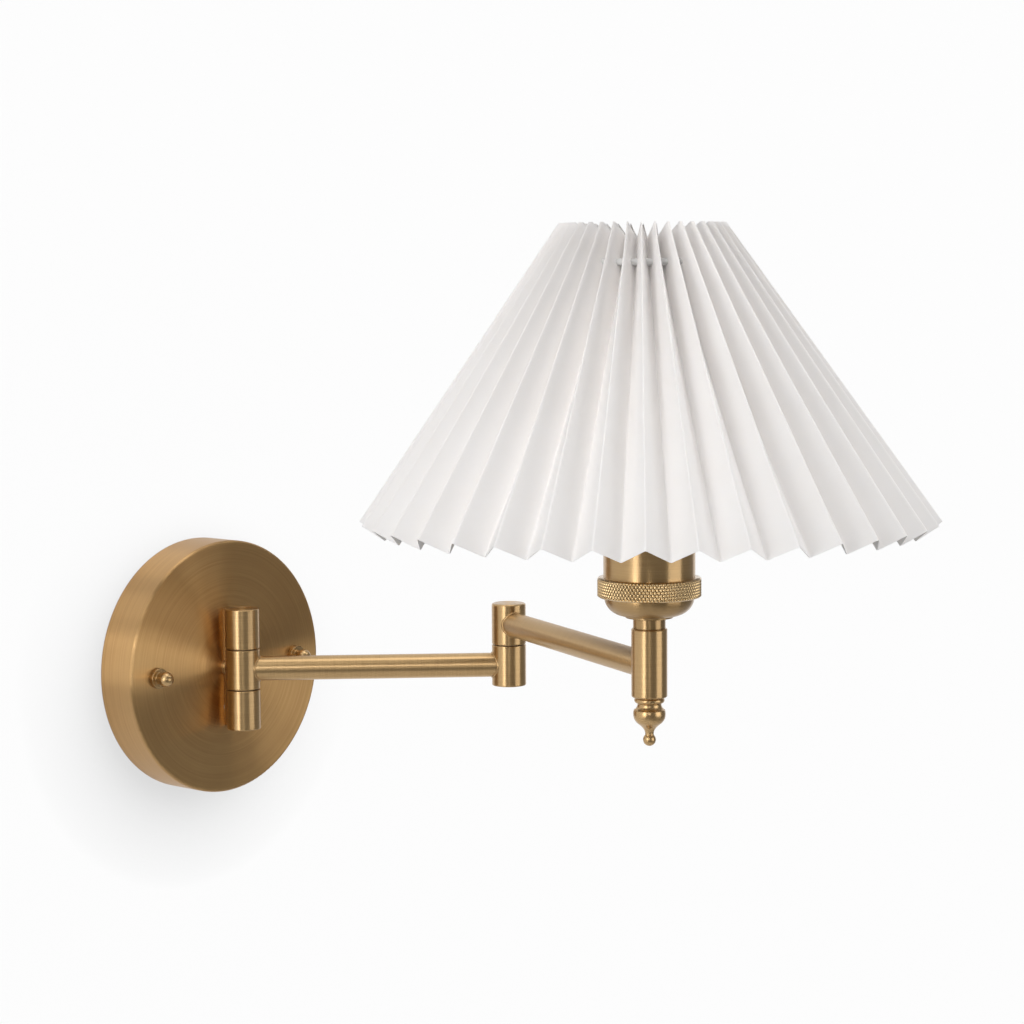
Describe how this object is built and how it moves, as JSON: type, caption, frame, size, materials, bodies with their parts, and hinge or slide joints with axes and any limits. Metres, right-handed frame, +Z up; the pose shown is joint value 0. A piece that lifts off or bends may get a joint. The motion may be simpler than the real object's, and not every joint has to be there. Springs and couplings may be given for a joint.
{
  "type": "swing arm wall lamp",
  "caption": "Wall lamp with a round canopy, a jointed swing arm in brushed brass and a pleated white cone shade that turns.",
  "frame": {"origin": "centre of the canopy's rim on the wall", "axes": "+Z up, +Y into the wall, so the lamp stands out along -Y"},
  "size_m": [0.2443, 0.3756, 0.2669],
  "materials": {
    "satin_brass": "brushed satin",
    "polished_brass": "polished",
    "plain_brass": "plain",
    "zinc_steel": "zinc plated",
    "nylon": "matte",
    "terminal_plastic": "matte",
    "lead_jacket": "matte",
    "holder_ceramic": "glazed",
    "frosted_glass": "frosted",
    "white_wire": "satin",
    "pleated_paper": "matte",
    "cotton_cord": "matte"
  },
  "bodies": {
    "wall_mount": {"canopy": "satin_brass", "wall_bracket": "zinc_steel", "bracket_studs": "zinc_steel", "stud_nuts": "zinc_steel", "cap_nuts": "polished_brass", "earth_screw": "zinc_steel", "terminal_block": "terminal_plastic", "terminal_barrels": "plain_brass", "terminal_screws": "zinc_steel", "terminal_fixing_screw": "zinc_steel", "hinge_yoke": "satin_brass", "yoke_washer": "zinc_steel", "yoke_nut": "zinc_steel", "upper_knuckle": "satin_brass", "lower_knuckle": "satin_brass", "shoulder_plug": "satin_brass", "shoulder_stop_pin": "zinc_steel", "shoulder_washers": "nylon", "shoulder_pin": "zinc_steel", "lead_canopy": "lead_jacket", "lead_bush": "nylon"},
    "first_arm": {"shoulder_knuckle": "satin_brass", "first_arm_tube": "satin_brass", "elbow_lower_knuckle": "satin_brass", "elbow_stop_pin": "zinc_steel", "elbow_pin": "zinc_steel", "elbow_clip": "zinc_steel", "elbow_washers": "nylon", "lead_first_arm": "lead_jacket"},
    "second_arm": {"elbow_upper_knuckle": "satin_brass", "elbow_plug": "satin_brass", "second_arm_tube": "satin_brass", "stem": "satin_brass", "finial": "polished_brass", "neck_collar": "satin_brass", "socket_cup": "satin_brass", "stem_nipple": "plain_brass", "nipple_nut": "plain_brass", "knurled_ring": "satin_brass", "socket_shell": "satin_brass", "lampholder_body": "holder_ceramic", "screw_shell": "plain_brass", "centre_contact": "plain_brass", "bulb_cap": "zinc_steel", "bulb_globe": "frosted_glass", "shade_rings": "satin_brass", "lead_second_arm": "lead_jacket"},
    "shade_group": {"shade_carrier": "white_wire", "shade": "pleated_paper", "gather_cord": "cotton_cord"}
  },
  "joints": [
    {"name": "shoulder_swing", "type": "hinge", "parent": "wall_mount", "child": "first_arm", "pos_m": [0, -0.0316, 0], "axis": [0, 0, 1], "range_deg": [-124, 36]},
    {"name": "elbow_swing", "type": "hinge", "parent": "first_arm", "child": "second_arm", "pos_m": [0.08753, -0.12224, 0], "axis": [0, 0, 1], "range_deg": [-66, 204]},
    {"name": "shade_turn", "type": "hinge", "parent": "second_arm", "child": "shade_group", "pos_m": [0.02625, -0.25365, 0], "axis": [0, 0, 1], "continuous": true}
  ]
}
